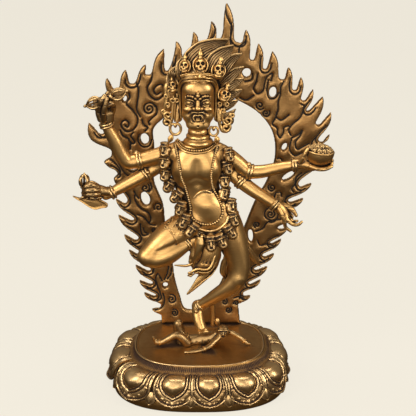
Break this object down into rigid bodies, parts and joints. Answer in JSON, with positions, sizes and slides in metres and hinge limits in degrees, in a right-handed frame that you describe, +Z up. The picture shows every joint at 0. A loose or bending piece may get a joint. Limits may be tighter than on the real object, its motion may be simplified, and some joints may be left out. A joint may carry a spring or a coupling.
{
  "type": "vajravarahi statue",
  "caption": "Cast brass dancing deity with many arms and a flame aureole, trampling a prone figure on an oval lotus base.",
  "frame": {"origin": "middle of the underside of the lotus base, on the surface that it stands on", "axes": "+Z up; the figure faces -Y; +X is to the right of a viewer who faces it"},
  "size_m": [0.1966, 0.1187, 0.296],
  "materials": {
    "base_brass": "worn antique brass, dark in the grooves",
    "figure_brass": "polished brass, dark in the recesses",
    "aureole_brass": "satin antiqued brass with black chased lines"
  },
  "bodies": {
    "root": {"lotus_base": "base_brass", "trampled_figure": "figure_brass", "dancing_figure": "figure_brass", "flame_aureole": "aureole_brass"}
  },
  "joints": []
}
